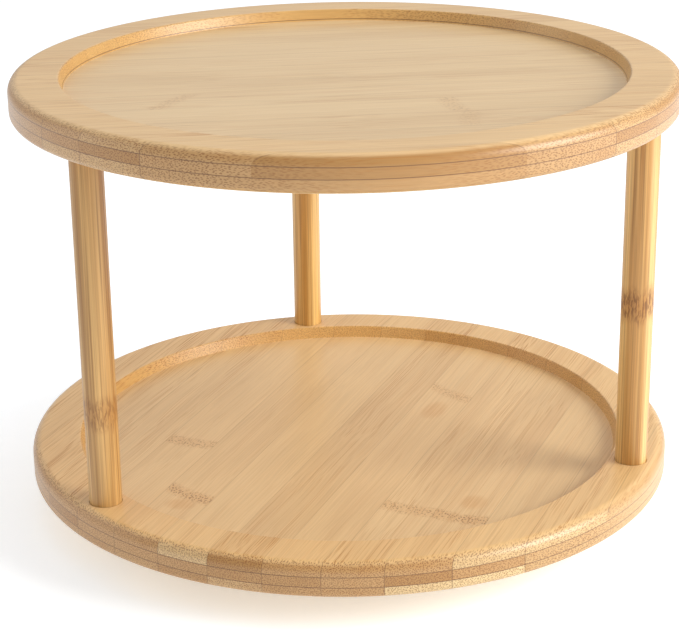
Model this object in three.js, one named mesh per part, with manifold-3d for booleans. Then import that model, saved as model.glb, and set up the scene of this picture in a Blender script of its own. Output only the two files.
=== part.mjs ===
// A two-tier lazy susan: two dished bamboo trays on three posts, turning together on a ball bearing.
// Units are millimetres and +Z is up. The origin is on the table, under the middle of the base.

import * as THREE from "three";
import { mergeVertices } from "three/addons/utils/BufferGeometryUtils.js";
import Module from "manifold-3d";

const wasm = await Module();
wasm.setup();

// ---- Driving dimensions ----

const RUNNING_GAP = 0.3; // between a piece and the hole it sits in
const CUT_OVERRUN = 1; // how far a drill or socket cutter runs past the face that it opens
const HOLE_SEGMENTS = 16;
const SCREW_SEGMENTS = 12;

// Trays
const TRAY_RADIUS = 125;
const TRAY_THICKNESS = 13.2;
const TRAY_TOP_ROUNDING = 4;
const TRAY_BOTTOM_ROUNDING = 2.5;
const DISH_TOP_RADIUS = 106;
const DISH_FLOOR_RADIUS = 104.8;
const DISH_DEPTH = 4.7;
const DISH_EDGE_ROUNDING = 0.8;
const TRAY_SEGMENTS = 64;

// Posts, on one circle in the middle of the rim's flat
const POST_RADIUS = 6;
const POST_LENGTH = 133.3;
const POST_FOOT_ROUNDING = 0.6;
const POST_CIRCLE_RADIUS = 114.5;
const POST_ANGLES = [-21, 99, 219];
const POST_SEGMENTS = 24;
const POST_SOCKET_DEPTH = 2.5;

// Screws up through the lower tray into the posts
const POST_SCREW_RADIUS = 2;
const POST_SCREW_HEAD_RADIUS = 4;
const POST_SCREW_HEAD_HEIGHT = 2.4;
const POST_SCREW_LENGTH = 34;
const POST_SCREW_POINT_LENGTH = 3;

// Studs in the tops of the posts, and the inserts that they enter
const STUD_RADIUS = 2.6;
const STUD_IN_POST = 18;
const STUD_IN_TRAY = 8.5;
const STUD_CHAMFER = 0.6;
const INSERT_RADIUS = 4.4;
const INSERT_LENGTH = 9.2;
const INSERT_END_THICKNESS = 0.4;
const INSERT_HOLE_DEPTH = 9.7;

// Base and feet
const FOOT_HEIGHT = 2.5;
const FOOT_RADIUS = 6.5;
const FOOT_CONTACT_RADIUS = 5.3;
const FOOT_LIP_RADIUS = 6.1;
const FOOT_LIP_HEIGHT = 0.6;
const FOOT_SEGMENTS = 16;
const FOOT_CIRCLE_RADIUS = 68;
const FOOT_COUNT = 4;
const BASE_RADIUS = 80;
const BASE_THICKNESS = 6;
const BASE_EDGE_ROUNDING = 1.5;
const BASE_SEGMENTS = 48;
const BASE_ACCESS_RADIUS = 6; // lets a screwdriver reach the tray screws
const PLATE_ACCESS_RADIUS = 5;

// Bearing: two pressed plates with a ball race, 1 mm sheet
const BEARING_HEIGHT = 5.5;
const SHEET = 1;
const PLATE_RADIUS = 62;
const FLANGE_INNER_RADIUS = 50; // the flat flange that is screwed down
const RAISED_OUTER_RADIUS = 48; // inside it the sheet steps off the wood by its own thickness
const RACE_RADIUS = 42;
const RACE_SECTION_RADIUS = 2;
const RACE_FOOT_HALF_WIDTH = 0.9; // where the back of the race touches the wood
const BEND_OFFSET = 0.5; // how much wider a bend runs on the back of the sheet
const PLATE_SEGMENTS = 48;
const BALL_RADIUS = 1.75;
const BALL_COUNT = 16;
const RETAINER_WIDTH = 6;
const RETAINER_THICKNESS = 0.9;
const POCKET_RADIUS = 1.95;
const EYELET_BORE_RADIUS = 5;
const EYELET_RADIUS = 5.8;
const EYELET_FLANGE_RADIUS = 9;
const EYELET_FLANGE_THICKNESS = 0.6;
const EYELET_SEGMENTS = 24;
const POCKET_SEGMENTS = 10;

// Pan-head screws that hold the bearing plates
const PAN_SCREW_RADIUS = 1.6;
const PAN_HEAD_RADIUS = 3.2;
const PAN_HEAD_HEIGHT = 1.6;
const PAN_HEAD_SHOULDER = 0.9;
const PAN_HEAD_CROWN_RADIUS = 2.3;
const PAN_SCREW_POINT_LENGTH = 1.2;
const PAN_SCREW_CIRCLE_RADIUS = 56;
const PAN_SCREW_COUNT = 4;
const BASE_SCREW_BITE = 4.6; // how far the shank goes into the base
const TRAY_SCREW_BITE = 6;
const RECESS_SLOT_WIDTH = 0.8;
const RECESS_SLOT_LENGTH = 3;
const RECESS_DEPTH = 0.9;

// Heights above the table
const BASE_BOTTOM = FOOT_HEIGHT;
const BASE_TOP = BASE_BOTTOM + BASE_THICKNESS;
const BALL_HEIGHT = BASE_TOP + BEARING_HEIGHT / 2;
const LOWER_TRAY_BOTTOM = BASE_TOP + BEARING_HEIGHT;
const LOWER_TRAY_TOP = LOWER_TRAY_BOTTOM + TRAY_THICKNESS;
const POST_BOTTOM = LOWER_TRAY_TOP - POST_SOCKET_DEPTH;
const UPPER_TRAY_BOTTOM = POST_BOTTOM + POST_LENGTH;

// ---- Finishes ----

const FINISHES = {
  bamboo: { color: 0xdcb486, roughness: 0.5, metalness: 0 },
  post_bamboo: { color: 0xcb9a5e, roughness: 0.5, metalness: 0 },
  rubber: { color: 0x2b2b2b, roughness: 0.9, metalness: 0 },
  zinc_steel: { color: 0xb9bcc0, roughness: 0.35, metalness: 1 },
  ball_steel: { color: 0xd8dade, roughness: 0.12, metalness: 1 },
  brass: { color: 0xc9a24a, roughness: 0.3, metalness: 1 },
  white_plastic: { color: 0xe9e7e0, roughness: 0.5, metalness: 0 },
};

function pieceOf(name, finish, geometry) {
  const mesh = new THREE.Mesh(geometry, new THREE.MeshStandardMaterial(FINISHES[finish]));
  mesh.name = name;
  return mesh;
}

// ---- Shaping helpers ----

// Points of a quarter turn or less, in a plane of radius and height.
function arc(centreRadius, centreHeight, radius, startDegrees, endDegrees, steps) {
  const points = [];
  for (let i = 0; i <= steps; i += 1) {
    const angle = THREE.MathUtils.degToRad(startDegrees + ((endDegrees - startDegrees) * i) / steps);
    points.push([centreRadius + radius * Math.cos(angle), centreHeight + radius * Math.sin(angle)]);
  }
  return points;
}

// Turns a profile of [radius, height] about the Z axis. It runs anticlockwise, so faces point out.
function turned(profile, segments) {
  const points = profile.map(([radius, height]) => new THREE.Vector2(radius, height));
  return new THREE.LatheGeometry(points, segments).rotateX(Math.PI / 2);
}

function solidOf(geometry) {
  const bare = geometry.clone();
  bare.deleteAttribute("normal");
  bare.deleteAttribute("uv");
  const merged = mergeVertices(bare);
  const vertProperties = new Float32Array(merged.attributes.position.array);
  const triVerts = new Uint32Array(merged.index.array);
  return new wasm.Manifold(new wasm.Mesh({ numProp: 3, vertProperties, triVerts }));
}

// Cuts every cutter geometry out of a blank.
function cut(blank, cutters) {
  const solid = cutters.reduce((rest, cutter) => rest.subtract(solidOf(cutter)), solidOf(blank));
  const { vertProperties, triVerts } = solid.getMesh();
  const geometry = new THREE.BufferGeometry();
  geometry.setAttribute("position", new THREE.BufferAttribute(vertProperties, 3));
  geometry.setIndex(new THREE.BufferAttribute(triVerts, 1));
  geometry.computeVertexNormals();
  return geometry;
}

// An upright cylinder from one height to another, standing at a point of a circle about the Z axis.
function drill(radius, bottom, top, circleRadius, degrees, segments = HOLE_SEGMENTS) {
  const angle = THREE.MathUtils.degToRad(degrees);
  return new THREE.CylinderGeometry(radius, radius, top - bottom, segments)
    .rotateX(Math.PI / 2)
    .translate(circleRadius * Math.cos(angle), circleRadius * Math.sin(angle), (bottom + top) / 2);
}

function placeOnCircle(mesh, circleRadius, degrees, height) {
  const angle = THREE.MathUtils.degToRad(degrees);
  mesh.position.set(circleRadius * Math.cos(angle), circleRadius * Math.sin(angle), height);
  return mesh;
}

function anglesOf(count, firstDegrees) {
  return Array.from({ length: count }, (_, i) => firstDegrees + (360 * i) / count);
}

// ---- Trays ----

// The board before drilling, standing on height 0: round-over outside, shallow dish inside.
function trayBlank() {
  const floorHeight = TRAY_THICKNESS - DISH_DEPTH;
  const topBend = TRAY_THICKNESS - TRAY_TOP_ROUNDING;
  const dishBend = TRAY_THICKNESS - DISH_EDGE_ROUNDING;
  return turned(
    [
      [0, 0],
      ...arc(TRAY_RADIUS - TRAY_BOTTOM_ROUNDING, TRAY_BOTTOM_ROUNDING, TRAY_BOTTOM_ROUNDING, -90, 0, 2),
      ...arc(TRAY_RADIUS - TRAY_TOP_ROUNDING, topBend, TRAY_TOP_ROUNDING, 0, 90, 4),
      ...arc(DISH_TOP_RADIUS + DISH_EDGE_ROUNDING, dishBend, DISH_EDGE_ROUNDING, 90, 180, 2),
      [DISH_FLOOR_RADIUS, floorHeight],
      [0, floorHeight],
    ],
    TRAY_SEGMENTS,
  );
}

// A shallow round socket in the rim for the foot of a post.
function postSocket(degrees) {
  const bottom = TRAY_THICKNESS - POST_SOCKET_DEPTH;
  const top = TRAY_THICKNESS + CUT_OVERRUN;
  return drill(POST_RADIUS + RUNNING_GAP, bottom, top, POST_CIRCLE_RADIUS, degrees, POST_SEGMENTS);
}

// A countersunk clearance hole for each post screw, open at the underside.
function postScrewHole(degrees) {
  const angle = THREE.MathUtils.degToRad(degrees);
  const headRadius = POST_SCREW_HEAD_RADIUS + RUNNING_GAP;
  const shankRadius = POST_SCREW_RADIUS + RUNNING_GAP;
  return turned(
    [
      [0, -CUT_OVERRUN],
      [headRadius, -CUT_OVERRUN],
      [headRadius, RUNNING_GAP],
      [shankRadius, POST_SCREW_HEAD_HEIGHT + RUNNING_GAP],
      [shankRadius, TRAY_THICKNESS],
      [0, TRAY_THICKNESS],
    ],
    HOLE_SEGMENTS,
  ).translate(POST_CIRCLE_RADIUS * Math.cos(angle), POST_CIRCLE_RADIUS * Math.sin(angle), 0);
}

const TRAY_SCREW_ANGLES = anglesOf(PAN_SCREW_COUNT, 45);
const BASE_SCREW_ANGLES = anglesOf(PAN_SCREW_COUNT, 0);
const ACCESS_ANGLE = TRAY_SCREW_ANGLES[0];

function lowerTray() {
  const pilotRadius = PAN_SCREW_RADIUS + RUNNING_GAP;
  const pilotTop = TRAY_SCREW_BITE + RUNNING_GAP;
  const pilotHoles = TRAY_SCREW_ANGLES.map((degrees) =>
    drill(pilotRadius, -CUT_OVERRUN, pilotTop, PAN_SCREW_CIRCLE_RADIUS, degrees),
  );
  const cutters = [...POST_ANGLES.map(postSocket), ...POST_ANGLES.map(postScrewHole), ...pilotHoles];
  const mesh = pieceOf("lower_tray", "bamboo", cut(trayBlank(), cutters));
  mesh.position.z = LOWER_TRAY_BOTTOM;
  return mesh;
}

function upperTray() {
  const insertHoles = POST_ANGLES.map((degrees) =>
    drill(INSERT_RADIUS + RUNNING_GAP, -CUT_OVERRUN, INSERT_HOLE_DEPTH, POST_CIRCLE_RADIUS, degrees),
  );
  const mesh = pieceOf("upper_tray", "bamboo", cut(trayBlank(), insertHoles));
  mesh.position.z = UPPER_TRAY_BOTTOM;
  return mesh;
}

// ---- Posts and what holds them ----

// A round post with a blind hole up its foot for the screw and one down its top for the stud.
function postGeometry() {
  const screwHoleRadius = POST_SCREW_RADIUS + RUNNING_GAP;
  const screwHoleDepth = POST_SCREW_LENGTH - (TRAY_THICKNESS - POST_SOCKET_DEPTH) + 1;
  const studHoleRadius = STUD_RADIUS + RUNNING_GAP;
  const studHoleBottom = POST_LENGTH - STUD_IN_POST - RUNNING_GAP;
  const inset = POST_RADIUS - POST_FOOT_ROUNDING;
  return turned(
    [
      [0, screwHoleDepth],
      [screwHoleRadius, screwHoleDepth],
      [screwHoleRadius, 0],
      ...arc(inset, POST_FOOT_ROUNDING, POST_FOOT_ROUNDING, -90, 0, 2),
      ...arc(inset, POST_LENGTH - POST_FOOT_ROUNDING, POST_FOOT_ROUNDING, 0, 90, 2),
      [studHoleRadius, POST_LENGTH],
      [studHoleRadius, studHoleBottom],
      [0, studHoleBottom],
    ],
    POST_SEGMENTS,
  );
}

// Two crossed slots cut into the face of a screw head; inward is 1 when they run up and -1 down.
function crossRecess(faceHeight, inward) {
  const tall = RECESS_DEPTH + CUT_OVERRUN;
  const middle = faceHeight + (inward * (RECESS_DEPTH - CUT_OVERRUN)) / 2;
  return [
    new THREE.BoxGeometry(RECESS_SLOT_LENGTH, RECESS_SLOT_WIDTH, tall).translate(0, 0, middle),
    new THREE.BoxGeometry(RECESS_SLOT_WIDTH, RECESS_SLOT_LENGTH, tall).translate(0, 0, middle),
  ];
}

// A countersunk screw standing head down on height 0, with a short point.
function postScrewGeometry() {
  const blank = turned(
    [
      [0, 0],
      [POST_SCREW_HEAD_RADIUS, 0],
      [POST_SCREW_HEAD_RADIUS, RUNNING_GAP],
      [POST_SCREW_RADIUS, POST_SCREW_HEAD_HEIGHT],
      [POST_SCREW_RADIUS, POST_SCREW_LENGTH - POST_SCREW_POINT_LENGTH],
      [0, POST_SCREW_LENGTH],
    ],
    SCREW_SEGMENTS,
  );
  return cut(blank, crossRecess(0, 1));
}

function studGeometry() {
  const length = STUD_IN_POST + STUD_IN_TRAY;
  return turned(
    [
      [0, 0],
      [STUD_RADIUS - STUD_CHAMFER, 0],
      [STUD_RADIUS, STUD_CHAMFER],
      [STUD_RADIUS, length - STUD_CHAMFER],
      [STUD_RADIUS - STUD_CHAMFER, length],
      [0, length],
    ],
    SCREW_SEGMENTS,
  );
}

// A tube flush with the tray's underside and closed at its top.
function insertGeometry() {
  const boreRadius = STUD_RADIUS + RUNNING_GAP;
  const boreDepth = INSERT_LENGTH - INSERT_END_THICKNESS;
  return turned(
    [
      [0, boreDepth],
      [boreRadius, boreDepth],
      [boreRadius, 0],
      [INSERT_RADIUS, 0],
      [INSERT_RADIUS, INSERT_LENGTH],
      [0, INSERT_LENGTH],
    ],
    HOLE_SEGMENTS,
  );
}

// Everything that stands on the post circle, one set for each post.
function postSet(degrees, index) {
  const number = index + 1;
  const post = pieceOf(`post_${number}`, "post_bamboo", postGeometry());
  const screw = pieceOf(`lower_post_screw_${number}`, "zinc_steel", postScrewGeometry());
  const stud = pieceOf(`upper_post_stud_${number}`, "zinc_steel", studGeometry());
  const insert = pieceOf(`tray_insert_${number}`, "brass", insertGeometry());
  return [
    placeOnCircle(post, POST_CIRCLE_RADIUS, degrees, POST_BOTTOM),
    placeOnCircle(screw, POST_CIRCLE_RADIUS, degrees, LOWER_TRAY_BOTTOM),
    placeOnCircle(stud, POST_CIRCLE_RADIUS, degrees, UPPER_TRAY_BOTTOM - STUD_IN_POST),
    placeOnCircle(insert, POST_CIRCLE_RADIUS, degrees, UPPER_TRAY_BOTTOM),
  ];
}

// ---- Base and feet ----

function baseDisc() {
  const inset = BASE_RADIUS - BASE_EDGE_ROUNDING;
  const blank = turned(
    [
      [0, 0],
      ...arc(inset, BASE_EDGE_ROUNDING, BASE_EDGE_ROUNDING, -90, 0, 2),
      ...arc(inset, BASE_THICKNESS - BASE_EDGE_ROUNDING, BASE_EDGE_ROUNDING, 0, 90, 2),
      [0, BASE_THICKNESS],
    ],
    BASE_SEGMENTS,
  );
  const pilotRadius = PAN_SCREW_RADIUS + RUNNING_GAP;
  const pilotBottom = BASE_THICKNESS - BASE_SCREW_BITE - RUNNING_GAP;
  const cutTop = BASE_THICKNESS + CUT_OVERRUN;
  const pilotHoles = BASE_SCREW_ANGLES.map((degrees) =>
    drill(pilotRadius, pilotBottom, cutTop, PAN_SCREW_CIRCLE_RADIUS, degrees),
  );
  const access = drill(BASE_ACCESS_RADIUS, -CUT_OVERRUN, cutTop, PAN_SCREW_CIRCLE_RADIUS, ACCESS_ANGLE);
  const mesh = pieceOf("base_disc", "bamboo", cut(blank, [...pilotHoles, access]));
  mesh.position.z = BASE_BOTTOM;
  return mesh;
}

// A moulded pad, a little narrower where it meets the table.
function footGeometry() {
  return turned(
    [
      [0, 0],
      [FOOT_CONTACT_RADIUS, 0],
      [FOOT_LIP_RADIUS, FOOT_LIP_HEIGHT],
      [FOOT_RADIUS, FOOT_HEIGHT],
      [0, FOOT_HEIGHT],
    ],
    FOOT_SEGMENTS,
  );
}

function feet() {
  return anglesOf(FOOT_COUNT, 0).map((degrees, i) =>
    placeOnCircle(pieceOf(`foot_${i + 1}`, "rubber", footGeometry()), FOOT_CIRCLE_RADIUS, degrees, 0),
  );
}

// ---- Bearing ----

// One pressed plate lying flange down on height 0, its race open upwards.
// The sheet steps up inside the flange, and the race dips back down in the middle of the raised ring.
function plateBlank() {
  const raisedTop = 2 * SHEET;
  const ballHeight = BEARING_HEIGHT / 2;
  const drop = ballHeight - raisedTop;
  const mouthDegrees = THREE.MathUtils.radToDeg(Math.asin(drop / RACE_SECTION_RADIUS));
  const race = arc(RACE_RADIUS, ballHeight, RACE_SECTION_RADIUS, -mouthDegrees, -180 + mouthDegrees, 4);
  const raceHalfWidth = Math.sqrt(RACE_SECTION_RADIUS ** 2 - drop ** 2);
  const raceBackHalfWidth = raceHalfWidth + BEND_OFFSET;
  const boreRadius = EYELET_RADIUS + RUNNING_GAP;
  return turned(
    [
      [boreRadius, SHEET],
      [RACE_RADIUS - raceBackHalfWidth, SHEET],
      [RACE_RADIUS - RACE_FOOT_HALF_WIDTH, 0],
      [RACE_RADIUS + RACE_FOOT_HALF_WIDTH, 0],
      [RACE_RADIUS + raceBackHalfWidth, SHEET],
      [RAISED_OUTER_RADIUS, SHEET],
      [FLANGE_INNER_RADIUS, 0],
      [PLATE_RADIUS, 0],
      [PLATE_RADIUS, SHEET],
      [FLANGE_INNER_RADIUS + BEND_OFFSET, SHEET],
      [RAISED_OUTER_RADIUS + BEND_OFFSET, raisedTop],
      ...race,
      [boreRadius, raisedTop],
      [boreRadius, SHEET],
    ],
    PLATE_SEGMENTS,
  );
}

function flangeHole(radius, degrees) {
  return drill(radius, -CUT_OVERRUN, SHEET + CUT_OVERRUN, PAN_SCREW_CIRCLE_RADIUS, degrees);
}

function flangeScrewHoles(angles) {
  return angles.map((degrees) => flangeHole(PAN_SCREW_RADIUS + RUNNING_GAP, degrees));
}

function lowerPlate() {
  const access = flangeHole(PLATE_ACCESS_RADIUS, ACCESS_ANGLE);
  const geometry = cut(plateBlank(), [...flangeScrewHoles(BASE_SCREW_ANGLES), access]);
  const mesh = pieceOf("bearing_lower_plate", "zinc_steel", geometry);
  mesh.position.z = BASE_TOP;
  return mesh;
}

// The same pressing turned over, so its race faces down. A half turn about X mirrors the hole angles.
function upperPlate() {
  const mirroredAngles = TRAY_SCREW_ANGLES.map((degrees) => -degrees);
  const geometry = cut(plateBlank(), flangeScrewHoles(mirroredAngles)).rotateX(Math.PI);
  const mesh = pieceOf("bearing_upper_plate", "zinc_steel", geometry);
  mesh.position.z = LOWER_TRAY_BOTTOM;
  return mesh;
}

// A tube through both plates with a flange under the lower one and a free flange over the upper one.
function bearingEyelet() {
  const bottom = SHEET - EYELET_FLANGE_THICKNESS;
  const upperPlateTop = BEARING_HEIGHT - SHEET;
  const upperFlange = upperPlateTop + RUNNING_GAP;
  const top = upperFlange + EYELET_FLANGE_THICKNESS;
  const geometry = turned(
    [
      [EYELET_BORE_RADIUS, bottom],
      [EYELET_FLANGE_RADIUS, bottom],
      [EYELET_FLANGE_RADIUS, SHEET],
      [EYELET_RADIUS, SHEET],
      [EYELET_RADIUS, upperFlange],
      [EYELET_FLANGE_RADIUS, upperFlange],
      [EYELET_FLANGE_RADIUS, top],
      [EYELET_BORE_RADIUS, top],
      [EYELET_BORE_RADIUS, bottom],
    ],
    EYELET_SEGMENTS,
  );
  const mesh = pieceOf("bearing_eyelet", "zinc_steel", geometry);
  mesh.position.z = BASE_TOP;
  return mesh;
}

const BALL_ANGLES = anglesOf(BALL_COUNT, 0);

function ballRetainer() {
  const inner = RACE_RADIUS - RETAINER_WIDTH / 2;
  const outer = RACE_RADIUS + RETAINER_WIDTH / 2;
  const half = RETAINER_THICKNESS / 2;
  const ring = turned(
    [
      [inner, -half],
      [outer, -half],
      [outer, half],
      [inner, half],
      [inner, -half],
    ],
    PLATE_SEGMENTS,
  );
  const pockets = BALL_ANGLES.map((degrees) =>
    drill(POCKET_RADIUS, -CUT_OVERRUN, CUT_OVERRUN, RACE_RADIUS, degrees, POCKET_SEGMENTS),
  );
  const mesh = pieceOf("ball_retainer", "white_plastic", cut(ring, pockets));
  mesh.position.z = BALL_HEIGHT;
  return mesh;
}

function bearingBalls() {
  return BALL_ANGLES.map((degrees, i) => {
    const name = `bearing_ball_${String(i + 1).padStart(2, "0")}`;
    const ball = pieceOf(name, "ball_steel", new THREE.SphereGeometry(BALL_RADIUS, 8, 6));
    return placeOnCircle(ball, RACE_RADIUS, degrees, BALL_HEIGHT);
  });
}

// ---- Screws that hold the bearing plates ----

// A pan-head screw with its point down: the head sits above height 0 and the shank hangs below.
function panScrewGeometry(bite) {
  const shank = bite + SHEET;
  const blank = turned(
    [
      [0, -shank],
      [PAN_SCREW_RADIUS, PAN_SCREW_POINT_LENGTH - shank],
      [PAN_SCREW_RADIUS, 0],
      [PAN_HEAD_RADIUS, 0],
      [PAN_HEAD_RADIUS, PAN_HEAD_SHOULDER],
      [PAN_HEAD_CROWN_RADIUS, PAN_HEAD_HEIGHT],
      [0, PAN_HEAD_HEIGHT],
    ],
    SCREW_SEGMENTS,
  );
  return cut(blank, crossRecess(PAN_HEAD_HEIGHT, -1));
}

function baseScrews() {
  return BASE_SCREW_ANGLES.map((degrees, i) => {
    const screw = pieceOf(`base_screw_${i + 1}`, "zinc_steel", panScrewGeometry(BASE_SCREW_BITE));
    return placeOnCircle(screw, PAN_SCREW_CIRCLE_RADIUS, degrees, BASE_TOP + SHEET);
  });
}

function trayScrews() {
  return TRAY_SCREW_ANGLES.map((degrees, i) => {
    const geometry = panScrewGeometry(TRAY_SCREW_BITE).rotateX(Math.PI);
    const screw = pieceOf(`tray_screw_${i + 1}`, "zinc_steel", geometry);
    return placeOnCircle(screw, PAN_SCREW_CIRCLE_RADIUS, degrees, LOWER_TRAY_BOTTOM - SHEET);
  });
}

// ---- Assembly ----

const base = new THREE.Group();
base.add(baseDisc(), ...feet(), lowerPlate(), bearingEyelet(), ...baseScrews());

const ballRing = new THREE.Group();
ballRing.add(ballRetainer(), ...bearingBalls());

const turntable = new THREE.Group();
turntable.add(upperPlate(), ...trayScrews(), lowerTray(), ...POST_ANGLES.flatMap(postSet), upperTray());

const lazySusan = new THREE.Group();
lazySusan.add(base, ballRing, turntable);

export default lazySusan;
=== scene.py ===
"""A two-tier bamboo lazy susan, made in the order in which it goes together, from the feet up."""

import math

import bmesh
import bpy
from mathutils import Euler, Matrix, Quaternion, Vector


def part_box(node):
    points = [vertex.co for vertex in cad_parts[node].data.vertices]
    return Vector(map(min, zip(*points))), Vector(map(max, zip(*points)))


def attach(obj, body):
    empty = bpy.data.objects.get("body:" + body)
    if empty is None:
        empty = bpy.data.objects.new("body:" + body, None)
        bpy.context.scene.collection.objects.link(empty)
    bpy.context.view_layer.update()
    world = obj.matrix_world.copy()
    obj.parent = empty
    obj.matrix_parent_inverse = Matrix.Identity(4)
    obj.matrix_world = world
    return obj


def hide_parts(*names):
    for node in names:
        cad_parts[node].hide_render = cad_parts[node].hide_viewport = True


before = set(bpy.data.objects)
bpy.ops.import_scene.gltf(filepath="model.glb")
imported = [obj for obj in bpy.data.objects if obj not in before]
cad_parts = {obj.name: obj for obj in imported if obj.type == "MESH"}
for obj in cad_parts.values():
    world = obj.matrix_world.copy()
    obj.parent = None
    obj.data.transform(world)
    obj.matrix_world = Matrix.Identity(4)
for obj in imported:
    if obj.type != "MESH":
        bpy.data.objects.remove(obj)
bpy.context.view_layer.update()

# ----------------------------
# Camera: a long lens in front of the turntable, looking a little down on both trays so that
# the two dishes and all three posts show. It is rolled a little.

CAMERA_PLACE = Vector((0.0, -0.7195, 0.3370))
CAMERA_AIM = Vector((-0.0031, 0.0, 0.0711))
CAMERA_ROLL = math.radians(-0.77)
CAMERA_LENS_MM = 103.8

camera = bpy.data.objects.new("camera", bpy.data.cameras.new("camera"))
camera.data.lens = CAMERA_LENS_MM
camera.location = CAMERA_PLACE
camera.rotation_mode = "QUATERNION"
level_aim = (CAMERA_AIM - CAMERA_PLACE).to_track_quat("-Z", "Y")
camera.rotation_quaternion = level_aim @ Quaternion((0, 0, 1), CAMERA_ROLL)
bpy.context.scene.collection.objects.link(camera)
bpy.context.scene.camera = camera

# ----------------------------
# Studio: a wide white floor under broad soft lights in a white surround. The key light stands
# on the right and gives the only shadow that shows.

FLOOR_SIZE = 12.0
FLOOR_DROP = 0.0001  # keeps the floor just under the feet
FLOOR_GLOW = 0.32
SURROUND_STRENGTH = 0.62


def mesh_object(name, mesh):
    piece = bpy.data.objects.new(name, mesh)
    bpy.context.scene.collection.objects.link(piece)
    return piece


def linear(hex_colour):
    """The scene-linear colour of a screen colour written as rrggbb."""
    channels = [int(hex_colour[i : i + 2], 16) / 255 for i in (0, 2, 4)]
    curve = [c / 12.92 if c <= 0.04045 else ((c + 0.055) / 1.055) ** 2.4 for c in channels]
    return (*curve, 1.0)


def new_material(name, **settings):
    """A material, its tree and its shader. A setting's name has _ where the input's has a space."""
    material = bpy.data.materials.new(name)
    material.use_nodes = True
    shader = material.node_tree.nodes["Principled BSDF"]
    for key, value in settings.items():
        shader.inputs[key.replace("_", " ").title()].default_value = value
    return material, material.node_tree, shader


def soft_box(name, place, aim, size, watts, hex_colour="ffffff"):
    light = bpy.data.lights.new(name, "AREA")
    light.shape = "DISK"
    light.size = size
    light.energy = watts
    light.color = linear(hex_colour)[:3]
    lamp = bpy.data.objects.new(name, light)
    lamp.location = place
    lamp.rotation_mode = "QUATERNION"
    lamp.rotation_quaternion = (Vector(aim) - Vector(place)).to_track_quat("-Z", "Y")
    bpy.context.scene.collection.objects.link(lamp)


soft_box("key_light", (1.25, -0.45, 0.62), (0, 0, 0.08), 0.9, 21, "fffcf6")
soft_box("left_light", (-1.4, 0.1, 0.6), (0, 0, 0.08), 1.1, 3)
soft_box("top_light", (0.15, 0.3, 1.6), (0, 0, 0.05), 1.3, 3)

world = bpy.data.worlds.new("studio")
world.use_nodes = True
surround = world.node_tree.nodes["Background"].inputs
surround["Color"].default_value = linear("ffffff")
surround["Strength"].default_value = SURROUND_STRENGTH
bpy.context.scene.world = world
bpy.context.scene.view_settings.view_transform = "Standard"

floor_mesh = bpy.data.meshes.new("floor")
half = FLOOR_SIZE / 2
floor_corners = [(-half, -half), (half, -half), (half, half), (-half, half)]
floor_mesh.from_pydata([(x, y, -FLOOR_DROP) for x, y in floor_corners], [], [(0, 1, 2, 3)])
floor = mesh_object("floor", floor_mesh)
floor_paint, _, _ = new_material(
    "floor_white",
    base_color=linear("f4f9ff"),
    roughness=0.9,
    emission_color=linear("f8fcff"),
    emission_strength=FLOOR_GLOW,
)
floor_mesh.materials.append(floor_paint)

# ----------------------------
# Base disc: the small bamboo disc that stays still on the table. It is turned from laminated
# board, rounded along both edges, drilled for the bearing screws, and has one larger hole for
# a screwdriver.

MM = 0.001


def add_node(tree, kind, inputs=None, output=0, **properties):
    """Adds a node and returns one of its outputs. Each input is a value or another node's output."""
    node = tree.nodes.new(kind)
    for key, value in properties.items():
        setattr(node, key, value)
    for key, value in (inputs or {}).items():
        if isinstance(value, bpy.types.NodeSocket):
            tree.links.new(value, node.inputs[key])
        else:
            node.inputs[key].default_value = value
    return node.outputs[output]


def calc(tree, operation, *values, clamp=False):
    return add_node(tree, "ShaderNodeMath", dict(enumerate(values)), operation=operation, use_clamp=clamp)


def times(tree, *values, clamp=False):
    return calc(tree, "MULTIPLY", *values, clamp=clamp)


def plus(tree, *values):
    return calc(tree, "ADD", *values)


def minus(tree, *values):
    return calc(tree, "SUBTRACT", *values)


def ramp(tree, value, from_low, from_high, to_low=0.0, to_high=1.0):
    """Takes a value from one range smoothly to another, and stops at the ends."""
    inputs = {0: value, 1: from_low, 2: from_high, 3: to_low, 4: to_high}
    return add_node(tree, "ShaderNodeMapRange", inputs, interpolation_type="SMOOTHSTEP")


def blend_colour(tree, amount, first, second, mode="MIX"):
    inputs = {0: amount, 6: first, 7: second}
    return add_node(tree, "ShaderNodeMix", inputs, output=2, data_type="RGBA", blend_type=mode)


def split(tree, vector):
    return add_node(tree, "ShaderNodeSeparateXYZ", {0: vector}).node.outputs


def joined(tree, x, y, z):
    return add_node(tree, "ShaderNodeCombineXYZ", {0: x, 1: y, 2: z})


def object_place(tree):
    """Where a point lies on its piece, in metres."""
    return add_node(tree, "ShaderNodeTexCoord", output="Object")


def place_in_mm(tree, shift, turn=0.0):
    """The same place in mm, turned about Z and shifted."""
    inputs = {"Vector": object_place(tree), "Location": shift}
    inputs.update({"Rotation": (0.0, 0.0, turn), "Scale": (1 / MM, 1 / MM, 1 / MM)})
    return add_node(tree, "ShaderNodeMapping", inputs)


def looks_along(tree, x, y, z):
    """How squarely a surface looks along a direction, forwards or backwards, from 0 to 1."""
    inputs = {0: add_node(tree, "ShaderNodeTexCoord", output="Normal"), 1: (x, y, z)}
    dot = add_node(tree, "ShaderNodeVectorMath", inputs, output="Value", operation="DOT_PRODUCT")
    return calc(tree, "ABSOLUTE", dot)


def finish_surface(tree, shader, colour, roughness, relief=None, strength=0.0, depth_mm=0.0):
    """Plugs a colour, a roughness and, where there is one, a fine relief into a shader."""
    tree.links.new(colour, shader.inputs["Base Color"])
    tree.links.new(roughness, shader.inputs["Roughness"])
    if relief:
        inputs = {"Height": relief, "Strength": strength, "Distance": depth_mm * MM}
        tree.links.new(add_node(tree, "ShaderNodeBump", inputs), shader.inputs["Normal"])


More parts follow.
